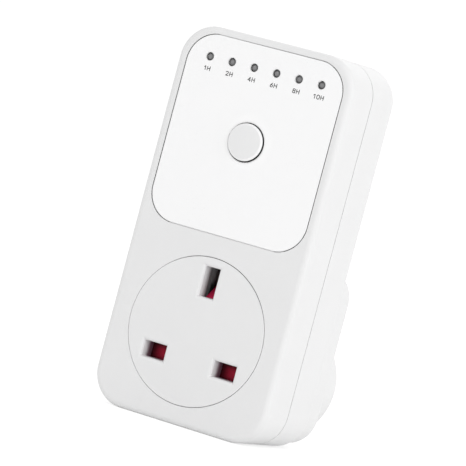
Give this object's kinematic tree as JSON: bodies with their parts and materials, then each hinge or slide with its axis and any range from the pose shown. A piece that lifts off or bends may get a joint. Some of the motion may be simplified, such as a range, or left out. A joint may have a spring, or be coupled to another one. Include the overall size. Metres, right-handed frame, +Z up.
{
  "type": "plug in timer switch",
  "caption": "White plug-through countdown timer for a 13 A wall socket: inlaid panel with push button and indicator windows above a shuttered socket, stepped plug base with rectangular pins.",
  "frame": {"origin": "on the flat face of the plug base, midway between the line and neutral pins", "axes": "+Z up the body, +Y along the pins into the wall, the socket and panel face -Y, +X to the right seen from the front"},
  "size_m": [0.0544, 0.0677, 0.1087],
  "materials": {
    "housing_white": "fine satin texture",
    "panel_white": "smooth satin",
    "socket_white": "satin",
    "button_white": "satin",
    "lens_grey": "smoked, gloss",
    "shutter_red": "matt",
    "carrier_grey": "matt",
    "board_green": "satin solder mask",
    "component_black": "matt",
    "relay_blue": "gloss",
    "film_yellow": "matt",
    "varistor_blue": "dipped coating",
    "resistor_brown": "matt coating",
    "brass": "rolled and cut",
    "sleeve_black": "matt",
    "wire_brown": "satin insulation",
    "wire_blue": "satin insulation",
    "wire_red": "satin insulation",
    "spring_steel": "drawn wire",
    "screw_steel": "zinc plated"
  },
  "bodies": {
    "housing": {"front_shell": "housing_white", "rear_shell": "housing_white", "timer_panel": "panel_white", "socket_disc": "socket_white", "switch_body": "component_black", "led_1h": "lens_grey", "led_2h": "lens_grey", "led_4h": "lens_grey", "led_6h": "lens_grey", "led_8h": "lens_grey", "led_10h": "lens_grey", "control_board": "board_green", "microcontroller": "component_black", "smd_resistors": "component_black", "relay_case": "relay_blue", "relay_base": "component_black", "film_capacitor": "film_yellow", "electrolytic_capacitor": "component_black", "varistor": "varistor_blue", "fusible_resistor": "resistor_brown", "rectifier_diodes": "component_black", "contact_carrier": "carrier_grey", "line_contact": "brass", "neutral_contact": "brass", "earth_contact": "brass", "line_pin": "brass", "neutral_pin": "brass", "earth_pin": "brass", "line_pin_sleeve": "sleeve_black", "neutral_pin_sleeve": "sleeve_black", "line_terminal": "brass", "neutral_strap": "brass", "earth_strap": "brass", "line_wire": "wire_brown", "neutral_wire": "wire_blue", "switched_wire": "wire_red", "shutter_spring": "spring_steel", "housing_screws": "screw_steel", "board_screws": "screw_steel"},
    "button": {"push_button": "button_white", "switch_plunger": "component_black"},
    "shutter": {"safety_shutter": "shutter_red"}
  },
  "joints": [
    {"name": "button_press", "type": "slide", "parent": "housing", "child": "button", "axis": [0, 1, 0], "range_m": [0, 0.0005], "stiffness_N_per_m": 1000, "springref_m": -0.0005},
    {"name": "shutter_slide", "type": "slide", "parent": "housing", "child": "shutter", "axis": [0, 0, -1], "range_m": [0, 0.0055], "stiffness_N_per_m": 150, "springref_m": -0.003, "deforming": ["shutter_spring"]}
  ]
}
